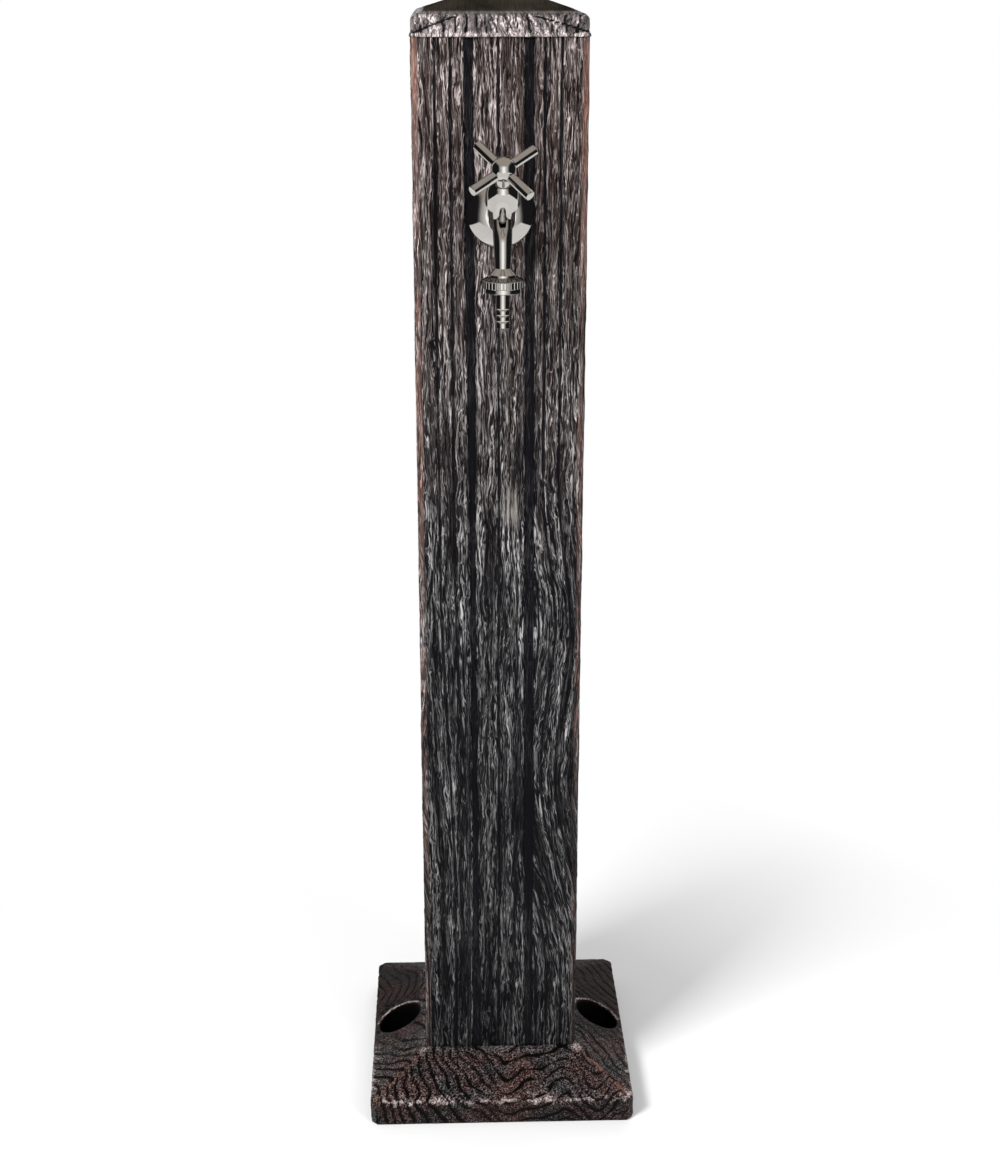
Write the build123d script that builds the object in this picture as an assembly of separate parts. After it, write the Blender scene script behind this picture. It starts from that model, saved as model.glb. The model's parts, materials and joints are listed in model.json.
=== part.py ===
from build123d import *
import math
import os

# Garden standpipe: a cast square water column with a cross-handle bib tap.
# Millimetres, +Z up, the origin is the centre of the base's underside on the ground,
# and the tap faces -Y. The water comes in under the base, rises in a pipe inside the
# column and leaves through the tap.

# Base casting
base_width = 240
base_edge = 24
base_rise = 24
base_wall = 5
base_floor = 6
base_bevel = 6
base_edge_round = 3
anchor_hole_radius = 6.5
anchor_floor = 6
pocket_margin_share = 0.78
pocket_wall = 4
pocket_round = 1.2

# Column casting
column_width = 140
column_height = 898
column_wall = 5
column_bevel = 6
broad_groove_width = 7.4
broad_groove_depth = 2.4
broad_groove_place_shares = (-0.157, 0.182)
fine_groove_width = 2.4
fine_groove_depth = 1.2
fine_groove_place_shares = (-0.364, -0.275, -0.011, 0.25, 0.343)
foot_block_width = 16
foot_block_height = 32

# Seats between the castings
seat_gap = 0.3
seat_rib_height = 12
seat_rib_thickness = 4

# Cap casting
cap_edge_height = 16
cap_lip_height = 2.5
cap_lip_step = 0.8
cap_roof_rise = 22
cap_apex_width = 5
cap_eave_round = 6
cap_wall = 5

# Foot screws, one in each foot block
screw_radius = 3
screw_gap = 0.1
screw_length = 24
screw_head_radius = 5.2
screw_head_height = 4
screw_washer_radius = 6.5
screw_washer_thickness = 1.2

# Tap: the inlet axis, and the valve axis that crosses it in front of the column
tap_below_cap = 134
valve_reach = 33
valve_tilt = 45
valve_lift = 3.5
thread_gap = 0.05
running_gap = 0.05

# Rose on the column's face
rose_radius = 25.75
rose_height = 9
rose_crown_radius = 12
rose_wall = 1.2
rose_rim_height = 1.6
seal_inner_radius = 15
seal_outer_radius = 22
seal_thickness = 1.5
tap_hole_gap = 0.8

# Tap body casting
shank_radius = 10.4
shank_length = 28
inlet_radius = 8.8
inlet_bore_radius = 5
inlet_bore_stop = 3
shoulder_radius = 11.4
shoulder_thickness = 1.6
barrel_radius = 10.2
barrel_length = 27
seat_height = 3
seat_bore_radius = 4.4
seat_bore_depth = 8
seat_ring_radius = 5.4
seat_ring_height = 1.2
chamber_radius = 7.4
spout_root_radius = 8.2
spout_radius = 6.1
spout_bore_radius = 4.2
spout_start = 8
spout_reach = 56.5
spout_bend = 20
spout_drop = 32
collar_flare = 5
outlet_radius = 10.4
outlet_thread_length = 8.4

# Backnut on the shank, inside the column
backnut_washer_radius = 15
backnut_washer_thickness = 1.5
backnut_flats = 27
backnut_thickness = 6

# Headwork, screwed into the barrel
headwork_thread_radius = 8.2
headwork_thread_length = 15.5
headwork_washer_thickness = 1
headwork_flats = 19
headwork_flats_height = 5
headwork_neck_radius = 5.6
headwork_neck_length = 12.5
headwork_stem_bore = 22.5
guide_gap = 0.1

# Jumper: the plunger that carries the washer and slides in the headwork
jumper_flats = 9.4
jumper_disc_radius = 6.3
jumper_disc_thickness = 2
jumper_bore_floor = 1.5
jumper_top_gap = 1
jumper_washer_radius = 5.9
jumper_washer_thickness = 2.5
jumper_tail_radius = 1.9
jumper_tail_length = 2.7
jumper_nut_flats = 6
jumper_nut_thickness = 1.8

# Spindle
spindle_tenon_radius = 2.5
spindle_tenon_end_gap = 0.5
spindle_collar_radius = 4.6
spindle_collar_thickness = 2
spindle_radius = 3.8
spindle_square = 5.3
square_gap = 0.1
spindle_top_gap = 0.2
o_ring_thickness = 1.48
o_ring_stretch = 0.02
o_ring_groove_width = 1.9
o_ring_first = 5
o_ring_pitch = 4.5
o_ring_count = 2
circlip_thickness = 0.7
circlip_radius = 5.1
circlip_groove_depth = 0.6
circlip_mouth = 3

# Bell over the headwork
bell_height = 21.7
bell_above_neck = 1.3
bell_rim_radius = 13.5
bell_neck_radius = 6.4
bell_thread_length = 5.5
bell_wall = 1.2
bell_radius_shares = (0.955, 0.83, 0.66)
bell_height_shares = (0.34, 0.69, 0.88)

# Cross handle
hub_gap = 0.5
hub_sleeve_radius = 5.9
hub_arm_height = 13.5
hub_ball_radius = 9.5
hub_ball_forward = 1.4
hub_seam_above_arms = 0.4
hub_floor_below_arms = 3.1
hub_counterbore_radius = 4.6
dome_stem_length = 3.4
arm_count = 4
arm_radius = 4
arm_inner = 6.7
arm_outer = 30.5
arm_edge = 0.4
arm_rest_angle = 39
handle_screw_radius = 2
handle_screw_length = 9
handle_screw_head_radius = 3.5
handle_screw_head_height = 2.4
handle_screw_slot_width = 0.8
handle_screw_slot_depth = 0.9

# Hose union under the spout
union_engagement = 6.9
union_cone_height = 2.7
union_top_radius = 11.2
union_band_radius = 16.4
union_band_height = 5.7
union_band_edge = 0.4
union_lip_radius = 14.6
union_floor = 1.5
union_flute_count = 36
union_flute_radius = 0.8
union_flute_depth = 0.35
union_tail_gap = 0.3
hose_washer_thickness = 2
tail_flange_thickness = 1.8
tail_radius = 5.4
tail_bore_radius = 4
tail_length = 28.8
tail_neck_radius = 5.2
tail_neck_gap = 0.3
tail_groove_count = 3
tail_groove_pitch = 4.7
tail_groove_width = 1.6
tail_groove_depth = 0.5

# Water supply inside the column
riser_set_back = 38
pipe_radius = 7.5
pipe_wall = 1
pipe_gap = 0.05
pipe_stop_radius = 5.5
fitting_thread_radius = 10.4
fitting_thread_length = 14
fitting_flats = 25
fitting_nut_height = 18
fitting_nut_wall = 3.8
olive_height = 3
olive_radius = 9.4
olive_edge = 0.6
elbow_socket_radius = 13.5
elbow_socket_start = 14
elbow_socket_end = 30
elbow_ball_radius = 12
elbow_leg_length = 26
elbow_pipe_depth = 14
connector_flats = 27
connector_flange_height = 7
connector_end = 10
connector_hole_gap = 0.4
locknut_height = 6
undercut_radius = 9.6
undercut_length = 1.5

# Worked out from the sizes above
cut_over = 1
shape_tolerance = 0.01
column_half = column_width / 2
column_inner = column_width - 2 * column_wall
skirt_top = base_edge + base_rise
floor_bottom = skirt_top - base_floor
column_top = skirt_top + column_height
tap_height = column_top - tap_below_cap
foot_screw_place = column_inner / 2 - foot_block_width / 2
anchor_spacing = (base_width + column_width) / 2
pocket_radius = pocket_margin_share * (base_width - column_width) / 4
riser_y = riser_set_back - column_half
tap_hole_radius = shank_radius + tap_hole_gap

# Places along the valve axis, from the crossing of the two axes
headwork_bottom = barrel_length - headwork_thread_length
flats_bottom = barrel_length + headwork_washer_thickness
flats_top = flats_bottom + headwork_flats_height
headwork_top = flats_top + headwork_neck_length
collar_top = headwork_top - headwork_stem_bore
collar_bottom = collar_top - spindle_collar_thickness
washer_top = seat_height + jumper_washer_thickness
disc_top = washer_top + jumper_disc_thickness
jumper_top = collar_bottom - valve_lift - jumper_top_gap
bell_top = headwork_top + bell_above_neck
bell_bottom = bell_top - bell_height
hub_bottom = bell_top + hub_gap
arm_plane = hub_bottom + hub_arm_height
ball_centre = arm_plane + hub_ball_forward
hub_top = arm_plane + arm_radius + hub_seam_above_arms
hub_floor = arm_plane - hub_floor_below_arms
spindle_top = hub_floor - spindle_top_gap
square_bottom = hub_bottom - hub_gap / 2
handle_screw_bottom = hub_floor - handle_screw_length

# Places down the outlet axis, from the height of the inlet axis
flare_end = spout_drop + collar_flare
outlet_end = flare_end + outlet_thread_length
union_top = outlet_end - union_engagement
tail_flange_top = outlet_end + hose_washer_thickness
tail_flange_end = tail_flange_top + tail_flange_thickness
union_end = tail_flange_end + union_floor
tail_end = tail_flange_end + tail_length

# Frames of the pieces that aren't upright on the origin
tilt = math.radians(valve_tilt)
FROM_BASE = (Align.CENTER, Align.CENTER, Align.MIN)
inlet_plane = Plane(origin=(0, -column_half, tap_height), x_dir=(1, 0, 0), z_dir=(0, -1, 0))
valve_plane = Plane(
    origin=(0, -column_half - valve_reach, tap_height),
    x_dir=(1, 0, 0),
    z_dir=(0, -math.cos(tilt), math.sin(tilt)),
)
outlet_plane = Plane(
    origin=(0, -column_half - spout_reach, tap_height), x_dir=(1, 0, 0), z_dir=(0, 0, -1)
)
elbow_plane = Plane(origin=(0, riser_y, tap_height), x_dir=(1, 0, 0), z_dir=(0, 0, -1))
connector_plane = Plane(origin=(0, riser_y, 0))


# Shapes shared by several pieces

def rod(radius, bottom, length):
    return Pos(0, 0, bottom) * Cylinder(radius, length, align=FROM_BASE)


def tube(radius, bore, bottom, length):
    return rod(radius, bottom, length) - rod(bore, bottom, length)


def hexagon(flats, bottom, length):
    sketch = RegularPolygon(flats / 2, 6, major_radius=False)
    return Pos(0, 0, bottom) * extrude(sketch, length)


def square_bar(side, bottom, length):
    return Pos(0, 0, bottom) * Box(side, side, length, align=FROM_BASE)


def turned(*outline):
    """Solid of revolution about Z whose outline is (radius, height) points."""
    return turned_curves([Polyline(*outline, close=True)])


def turned_curves(edges):
    """Solid of revolution about Z whose outline is drawn as radius and height."""
    return revolve(Plane.XZ * make_face(edges), Axis.Z)


def bevelled_square(width, bevel):
    square = Rectangle(width, width)
    return chamfer(square.vertices(), bevel)


def bevelled_block(width, bevel, bottom, height):
    return Pos(0, 0, bottom) * extrude(bevelled_square(width, bevel), height)


def bevelled_taper(lower_width, upper_width, bevel, bottom, height):
    """Four sloping sides between two bevelled squares, as on a hipped roof."""
    lower = Pos(0, 0, bottom) * bevelled_square(lower_width, bevel)
    upper = Pos(0, 0, bottom + height) * bevelled_square(upper_width, bevel)
    return loft([lower, upper], ruled=True)


def edges_at_height(part, height):
    """The part's edges that lie wholly at one height."""
    return [
        edge
        for edge in part.edges()
        if abs(edge.bounding_box().min.Z - height) < shape_tolerance
        and abs(edge.bounding_box().max.Z - height) < shape_tolerance
    ]


def foot_places():
    return [
        Pos(x * foot_screw_place, y * foot_screw_place, 0) for x in (-1, 1) for y in (-1, 1)
    ]


def anchor_places():
    return [Pos(side * anchor_spacing / 2, 0, 0) for side in (-1, 1)]


# Castings

def base_envelope():
    edge = bevelled_block(base_width, base_bevel, 0, base_edge)
    skirt = bevelled_taper(base_width, column_width, base_bevel, base_edge, base_rise)
    envelope = edge + skirt
    return fillet(edges_at_height(envelope, base_edge), base_edge_round)


def base_cavity():
    lower_width = base_width - 2 * base_wall
    shoulder = base_edge - base_wall / 2
    edge = bevelled_block(lower_width, base_bevel, 0, shoulder)
    skirt = bevelled_taper(
        lower_width, column_inner, base_bevel, shoulder, floor_bottom - shoulder
    )
    return edge + skirt


def seat_ribs(bottom, height):
    """Four ribs that locate the column's inside faces, clear of its foot blocks."""
    length = column_inner - 2 * foot_block_width - 2 * seat_gap
    offset = column_inner / 2 - seat_gap - seat_rib_thickness / 2
    rib = Pos(0, offset, bottom) * Box(length, seat_rib_thickness, height, align=FROM_BASE)
    ribs = rib
    for turn in (90, 180, 270):
        ribs += Rot(0, 0, turn) * rib
    return ribs


def pocket_rims(part):
    """The ovals where the anchor pockets break through the sloping sides."""
    return [
        edge
        for edge in part.edges()
        if edge.geom_type == GeomType.BSPLINE
        and abs(edge.bounding_box().size.Y - 2 * pocket_radius) < shape_tolerance
    ]


def base_casting():
    envelope = base_envelope()
    shell = envelope - base_cavity()
    for place in anchor_places():
        boss = place * rod(pocket_radius + pocket_wall, 0, skirt_top)
        shell += boss & envelope
    for place in anchor_places():
        shell -= place * rod(pocket_radius, anchor_floor, skirt_top)
        shell -= place * rod(anchor_hole_radius, 0, anchor_floor)
    shell = fillet(pocket_rims(shell), pocket_round)
    shell += seat_ribs(skirt_top, seat_rib_height)
    for place in foot_places():
        shell -= place * rod(screw_radius + screw_gap, floor_bottom, base_floor)
    connector_hole = rod(fitting_thread_radius + connector_hole_gap, floor_bottom, base_floor)
    return shell - Pos(0, riser_y, 0) * connector_hole


def plank_groove(share, width, depth):
    face = Pos(share * column_width, -column_half, skirt_top)
    return face * Box(width, 2 * depth, column_height, align=FROM_BASE)


def plank_grooves():
    """The grooves between the planks of one side, the one at -Y."""
    grooves = [
        plank_groove(share, broad_groove_width, broad_groove_depth)
        for share in broad_groove_place_shares
    ]
    grooves += [
        plank_groove(share, fine_groove_width, fine_groove_depth)
        for share in fine_groove_place_shares
    ]
    return grooves


def column_shell():
    shell = bevelled_block(column_width, column_bevel, skirt_top, column_height)
    shell -= square_bar(column_inner, skirt_top, column_height)
    for turn in (0, 90, 180, 270):
        for groove in plank_grooves():
            shell -= Rot(0, 0, turn) * groove
    for place in foot_places():
        shell += place * square_bar(foot_block_width, skirt_top, foot_block_height)
    for place in foot_places():
        shell -= place * rod(screw_radius + thread_gap, skirt_top, screw_length)
    tap_hole = inlet_plane * rod(tap_hole_radius, -column_wall - cut_over, 2 * column_wall)
    return shell - tap_hole


def roof_profile(width, edge, rise, eave_round):
    """Section of a low roof on a straight edge, rounded at its eaves."""
    half = width / 2
    apex = cap_apex_width / 2
    points = [(-half, 0), (half, 0), (half, edge), (apex, edge + rise), (-apex, edge + rise)]
    section = make_face(Polyline(*points, (-half, edge), close=True))
    eaves = [vertex for vertex in section.vertices() if abs(vertex.Y - edge) < shape_tolerance]
    return fillet(eaves, eave_round) if eave_round else section


def hipped_roof(width, edge, rise, eave_round):
    """Two like roofs crossing at right angles leave their hipped common part."""
    section = Plane.XZ * roof_profile(width, edge, rise, eave_round)
    roof = extrude(section, width / 2, both=True)
    return roof & Rot(0, 0, 90) * roof


def cap_casting():
    body_width = column_width - 2 * cap_lip_step
    body = hipped_roof(body_width, cap_edge_height, cap_roof_rise, cap_eave_round)
    body &= bevelled_block(body_width, column_bevel, 0, cap_edge_height + cap_roof_rise)
    lip = bevelled_block(column_width, column_bevel, 0, cap_lip_height)
    hollow_width = column_inner - 2 * seat_gap - 2 * seat_rib_thickness
    hollow = hipped_roof(hollow_width, cap_edge_height - cap_wall, cap_roof_rise, 0)
    rim = square_bar(column_inner - 2 * seat_gap, -seat_rib_height, seat_rib_height)
    rim -= square_bar(hollow_width, -seat_rib_height, seat_rib_height)
    return Pos(0, 0, column_top) * (body + lip - hollow + rim)


# Fasteners of the castings

def column_screw_washers():
    bottom = floor_bottom - screw_washer_thickness
    washer = tube(screw_washer_radius, screw_radius + screw_gap, bottom, screw_washer_thickness)
    return [place * washer for place in foot_places()]


def column_screws():
    head_top = floor_bottom - screw_washer_thickness
    head = rod(screw_head_radius, head_top - screw_head_height, screw_head_height)
    shank = rod(screw_radius, head_top, screw_length)
    return [place * (head + shank) for place in foot_places()]


# Tap body and what fastens it to the column

def wall_rose():
    """Domed cover flange with a short straight rim."""
    bore = shank_radius + thread_gap
    under = rose_height - rose_wall
    rim = rose_radius - rose_wall
    outline = [
        RadiusArc((rose_crown_radius, rose_height), (rose_radius, rose_rim_height), rose_radius),
        Polyline((rose_radius, rose_rim_height), (rose_radius, 0), (rim, 0), (rim, rose_rim_height)),
        RadiusArc((rose_crown_radius, under), (rim, rose_rim_height), rose_radius),
        Polyline(
            (rose_crown_radius, under),
            (bore, under),
            (bore, rose_height),
            (rose_crown_radius, rose_height),
        ),
    ]
    return inlet_plane * turned_curves(outline)


def rose_seal():
    return inlet_plane * tube(seal_outer_radius, seal_inner_radius, 0, seal_thickness)


def spout_path():
    """From the valve chamber out at right angles to the valve axis, then straight down."""
    start = valve_plane.from_local_coords((0, 0, spout_start))
    run = (-start.Y - column_half - spout_reach) / math.sin(tilt)
    corner = (0, -column_half - spout_reach, start.Z + run * math.cos(tilt))
    end = (0, -column_half - spout_reach, tap_height - flare_end)
    return FilletPolyline((0, start.Y, start.Z), corner, end, radius=spout_bend)


def spout_outside():
    """The spout narrows from its root on the barrel to its outlet."""
    path = spout_path()
    root = Plane(origin=path @ 0, z_dir=path % 0) * Circle(spout_root_radius)
    outlet = Plane(origin=path @ 1, z_dir=path % 1) * Circle(spout_radius)
    return sweep([root, outlet], path, multisection=True)


def spout_bore():
    path = spout_path()
    section = Plane(origin=path @ 0, z_dir=path % 0) * Circle(spout_bore_radius)
    bore = sweep(section, path)
    return bore + outlet_plane * rod(spout_bore_radius, spout_drop, outlet_end - spout_drop)


def tap_casting_outside():
    shank = rod(shank_radius, -shank_length, shank_length + rose_height)
    shoulder = rod(shoulder_radius, rose_height, shoulder_thickness)
    inlet = rod(inlet_radius, rose_height, valve_reach - rose_height)
    outside = inlet_plane * (shank + shoulder + inlet)
    outside += valve_plane * (Sphere(barrel_radius) + rod(barrel_radius, 0, barrel_length))
    collar = turned(
        (0, spout_drop),
        (spout_radius, spout_drop),
        (outlet_radius, flare_end),
        (outlet_radius, outlet_end),
        (0, outlet_end),
    )
    return outside + spout_outside() + outlet_plane * collar


def tap_body():
    inlet_bore = rod(
        inlet_bore_radius, -shank_length, shank_length + valve_reach - inlet_bore_stop
    )
    body = tap_casting_outside() - inlet_plane * inlet_bore
    chamber_floor = seat_height - seat_ring_height
    chamber = rod(chamber_radius, chamber_floor, barrel_length - chamber_floor)
    chamber -= rod(seat_ring_radius, chamber_floor, seat_ring_height)
    chamber += rod(
        headwork_thread_radius + thread_gap, headwork_bottom, headwork_thread_length
    )
    seat_bore = rod(seat_bore_radius, seat_height - seat_bore_depth, seat_bore_depth)
    return body - valve_plane * (chamber + seat_bore) - spout_bore()


def tap_backnut_washer():
    bottom = -column_wall - backnut_washer_thickness
    washer = tube(
        backnut_washer_radius, shank_radius + thread_gap, bottom, backnut_washer_thickness
    )
    return inlet_plane * washer


def tap_backnut():
    bottom = -column_wall - backnut_washer_thickness - backnut_thickness
    nut = hexagon(backnut_flats, bottom, backnut_thickness)
    return inlet_plane * (nut - rod(shank_radius + thread_gap, bottom, backnut_thickness))


# Headwork and valve, on the valve axis

def headwork_washer():
    washer = tube(
        barrel_radius,
        headwork_thread_radius + thread_gap,
        barrel_length,
        headwork_washer_thickness,
    )
    return valve_plane * washer


def headwork_body():
    """Screwed bonnet: hexagonal guide bore below, spindle bore above."""
    body = rod(headwork_thread_radius, headwork_bottom, flats_bottom - headwork_bottom)
    body += hexagon(headwork_flats, flats_bottom, headwork_flats_height)
    body += rod(headwork_neck_radius, flats_top, headwork_neck_length)
    guide_top = collar_top + running_gap
    body -= hexagon(
        jumper_flats + 2 * guide_gap, headwork_bottom, guide_top - headwork_bottom
    )
    body -= rod(spindle_radius + running_gap, guide_top, headwork_top - guide_top)
    return valve_plane * body


def bell_section(rim_radius, neck_radius, bottom, top):
    """Solid of the bell's outline, from its rim up to its neck."""
    points = [(rim_radius, bottom)]
    for radius_share, height_share in zip(bell_radius_shares, bell_height_shares):
        points.append((rim_radius * radius_share, bottom + (top - bottom) * height_share))
    points.append((neck_radius, top))
    outline = [
        Spline(*points),
        Polyline((neck_radius, top), (0, top), (0, bottom), (rim_radius, bottom)),
    ]
    return turned_curves(outline)


def headwork_bell():
    hollow = bell_section(
        bell_rim_radius - bell_wall,
        bell_neck_radius - bell_wall,
        bell_bottom,
        bell_top - bell_wall,
    )
    hollow -= rod(bell_rim_radius, bell_top - bell_thread_length, bell_thread_length)
    bell = bell_section(bell_rim_radius, bell_neck_radius, bell_bottom, bell_top) - hollow
    return valve_plane * (bell - rod(headwork_neck_radius + thread_gap, bell_bottom, bell_height))


def stem_groove(bottom, width, depth):
    return tube(spindle_radius + cut_over, spindle_radius - depth, bottom, width)


def o_ring_places():
    return [collar_top + o_ring_first + o_ring_pitch * number for number in range(o_ring_count)]


def valve_spindle():
    """Non-rising spindle: screw tenon, thrust collar, sealed stem and square drive."""
    tenon_bottom = disc_top + jumper_bore_floor + valve_lift + spindle_tenon_end_gap
    spindle = rod(spindle_tenon_radius, tenon_bottom, collar_bottom - tenon_bottom)
    spindle += rod(spindle_collar_radius, collar_bottom, spindle_collar_thickness)
    spindle += rod(spindle_radius, collar_top, square_bottom - collar_top)
    spindle += square_bar(spindle_square, square_bottom, spindle_top - square_bottom)
    for place in o_ring_places():
        spindle -= stem_groove(
            place - o_ring_groove_width / 2, o_ring_groove_width, o_ring_thickness
        )
    spindle -= stem_groove(headwork_top + running_gap, circlip_thickness, circlip_groove_depth)
    screw_hole = rod(
        handle_screw_radius + thread_gap, handle_screw_bottom, spindle_top - handle_screw_bottom
    )
    return valve_plane * (spindle - screw_hole)


def spindle_o_rings():
    section_radius = o_ring_thickness / 2
    ring = Torus(spindle_radius - section_radius + o_ring_stretch, section_radius)
    return [valve_plane * Pos(0, 0, place) * ring for place in o_ring_places()]


def spindle_circlip():
    bottom = headwork_top + running_gap
    clip = tube(circlip_radius, spindle_radius - circlip_groove_depth, bottom, circlip_thickness)
    mouth = Pos(circlip_radius / 2, 0, bottom) * Box(
        circlip_radius, circlip_mouth, circlip_thickness, align=FROM_BASE
    )
    return valve_plane * (clip - mouth)


def jumper_valve():
    tail_bottom = seat_height - jumper_tail_length
    bore_bottom = disc_top + jumper_bore_floor
    jumper = rod(jumper_disc_radius, washer_top, jumper_disc_thickness)
    jumper += hexagon(jumper_flats, disc_top, jumper_top - disc_top)
    jumper += rod(jumper_tail_radius, tail_bottom, washer_top - tail_bottom)
    jumper -= rod(spindle_tenon_radius + thread_gap, bore_bottom, jumper_top - bore_bottom)
    return valve_plane * jumper


def jumper_washer():
    washer = tube(
        jumper_washer_radius,
        jumper_tail_radius + thread_gap,
        seat_height,
        jumper_washer_thickness,
    )
    return valve_plane * washer


def jumper_nut():
    bottom = seat_height - jumper_nut_thickness
    nut = hexagon(jumper_nut_flats, bottom, jumper_nut_thickness)
    return valve_plane * (nut - rod(jumper_tail_radius + thread_gap, bottom, jumper_nut_thickness))


# Cross handle

def arm_frames():
    """One frame per arm, its Z along the arm."""
    return [
        valve_plane
        * Pos(0, 0, arm_plane)
        * Rot(0, 0, arm_rest_angle + 360 / arm_count * number)
        * Rot(0, 90, 0)
        for number in range(arm_count)
    ]


def handle_ball():
    return Pos(0, 0, ball_centre) * Sphere(hub_ball_radius)


def handle_hub():
    """Turned ball on a sleeve, open in front for the screw and bored for the arms."""
    hub = handle_ball() + rod(hub_sleeve_radius, hub_bottom, ball_centre - hub_bottom)
    hub -= rod(hub_ball_radius, hub_top, hub_ball_radius)
    hub -= square_bar(spindle_square + 2 * square_gap, hub_bottom, hub_floor - hub_bottom)
    hub -= rod(hub_counterbore_radius, hub_floor, hub_top - hub_floor)
    hub = valve_plane * hub
    for frame in arm_frames():
        hub -= frame * rod(arm_radius + thread_gap, arm_inner, hub_ball_radius)
    return hub


def handle_arms():
    arm = rod(arm_radius, arm_inner, arm_outer - arm_inner)
    arm = chamfer(arm.faces().sort_by(Axis.Z)[-1].edges(), arm_edge)
    return [frame * arm for frame in arm_frames()]


def handle_dome():
    """Front of the ball, with a stem that snaps into the screw's counterbore."""
    dome = handle_ball() & rod(hub_ball_radius, hub_top, hub_ball_radius)
    stem_radius = hub_counterbore_radius - running_gap
    return valve_plane * (dome + rod(stem_radius, hub_top - dome_stem_length, dome_stem_length))


def handle_screw():
    shank = rod(handle_screw_radius, handle_screw_bottom, handle_screw_length)
    head = rod(handle_screw_head_radius, hub_floor, handle_screw_head_height)
    slot_bottom = hub_floor + handle_screw_head_height - handle_screw_slot_depth
    slot = Pos(0, 0, slot_bottom) * Box(
        2 * handle_screw_head_radius,
        handle_screw_slot_width,
        handle_screw_slot_depth,
        align=FROM_BASE,
    )
    return valve_plane * (shank + head - slot)


# Hose union

def hose_washer():
    radius = outlet_radius - thread_gap
    return outlet_plane * tube(radius, tail_bore_radius, outlet_end, hose_washer_thickness)


def hose_tail():
    """Flanged nozzle with three V grooves near its end, necked where the nut turns."""
    plain_top = union_end + tail_neck_gap
    tail = rod(outlet_radius - thread_gap, tail_flange_top, tail_flange_thickness)
    tail += rod(tail_neck_radius, tail_flange_end, plain_top - tail_flange_end)
    tail += rod(tail_radius, plain_top, tail_end - plain_top)
    for number in range(tail_groove_count):
        middle = tail_end - (number + 1) * tail_groove_pitch
        tail -= turned(
            (tail_radius, middle - tail_groove_width / 2),
            (tail_radius - tail_groove_depth, middle),
            (tail_radius, middle + tail_groove_width / 2),
        )
    bore = rod(tail_bore_radius, tail_flange_top, tail_end - tail_flange_top)
    return outlet_plane * (tail - bore)


def hose_nut():
    """Union nut with a sloping top, a fluted band and a plain lip."""
    cone_end = union_top + union_cone_height
    band_end = cone_end + union_band_height
    nut = turned(
        (0, union_top),
        (union_top_radius, union_top),
        (union_band_radius - union_band_edge, cone_end),
        (union_band_radius, cone_end + union_band_edge),
        (union_band_radius, band_end - union_band_edge),
        (union_band_radius - union_band_edge, band_end),
        (union_lip_radius, band_end),
        (union_lip_radius, union_end - union_band_edge),
        (union_lip_radius - union_band_edge, union_end),
        (0, union_end),
    )
    flute = Pos(union_band_radius + union_flute_radius - union_flute_depth, 0, 0) * rod(
        union_flute_radius, cone_end - union_band_edge, union_band_height + 2 * union_band_edge
    )
    flutes = [
        Rot(0, 0, 360 / union_flute_count * number) * flute for number in range(union_flute_count)
    ]
    nut -= flutes
    nut -= rod(outlet_radius + thread_gap, union_top, tail_flange_end - union_top)
    return outlet_plane * (nut - rod(tail_radius + union_tail_gap, tail_flange_end, union_floor))


# Water supply

def olive(bottom):
    """Compression ring with a bevel at each end."""
    bore = pipe_radius + pipe_gap
    ring = turned(
        (bore, bottom),
        (olive_radius - olive_edge, bottom),
        (olive_radius, bottom + olive_edge),
        (olive_radius, bottom + olive_height - olive_edge),
        (olive_radius - olive_edge, bottom + olive_height),
        (bore, bottom + olive_height),
    )
    return ring


def compression_nut(olive_bottom):
    """Nut over a fitting's thread, its wall behind the olive."""
    end = olive_bottom + olive_height + fitting_nut_wall
    start = end - fitting_nut_height
    nut = hexagon(fitting_flats, start, fitting_nut_height)
    wall_start = olive_bottom + olive_height
    nut -= rod(fitting_thread_radius + thread_gap, start, wall_start - start)
    return nut - rod(pipe_radius + pipe_gap, wall_start, fitting_nut_wall)


def supply_elbow():
    socket_length = elbow_socket_end - elbow_socket_start
    socket = rod(elbow_socket_radius, -elbow_socket_end, socket_length)
    arm = rod(elbow_ball_radius, -riser_set_back, riser_set_back - elbow_socket_end)
    elbow = inlet_plane * (socket + arm)
    leg = rod(fitting_thread_radius, 0, elbow_leg_length)
    elbow += elbow_plane * (Sphere(elbow_ball_radius) + leg)
    socket_bore = rod(
        shank_radius + thread_gap, -shank_length - cut_over, shank_length + cut_over
    )
    water_way = rod(pipe_stop_radius, -riser_set_back, riser_set_back)
    elbow -= inlet_plane * (socket_bore + water_way)
    pipe_socket = rod(
        pipe_radius + pipe_gap, elbow_leg_length - elbow_pipe_depth, elbow_pipe_depth
    )
    down_way = rod(pipe_stop_radius, 0, elbow_leg_length)
    return elbow - elbow_plane * (pipe_socket + down_way)


def elbow_olive():
    return elbow_plane * olive(elbow_leg_length)


def elbow_nut():
    return elbow_plane * compression_nut(elbow_leg_length)


def connector_top():
    return skirt_top + connector_flange_height + fitting_thread_length


def inlet_connector():
    flange_top = skirt_top + connector_flange_height
    body = rod(fitting_thread_radius, connector_end, connector_top() - connector_end)
    body += hexagon(connector_flats, skirt_top, connector_flange_height)
    undercut_bottom = floor_bottom - locknut_height - undercut_length
    body -= tube(
        fitting_thread_radius + cut_over, undercut_radius, undercut_bottom, undercut_length
    )
    pipe_stop = connector_top() - elbow_pipe_depth + cut_over
    body -= rod(pipe_radius + pipe_gap, pipe_stop, connector_top() - pipe_stop)
    body -= rod(pipe_stop_radius, connector_end, connector_top() - connector_end)
    return connector_plane * body


def inlet_olive():
    return connector_plane * olive(connector_top())


def inlet_nut():
    return connector_plane * compression_nut(connector_top())


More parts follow.
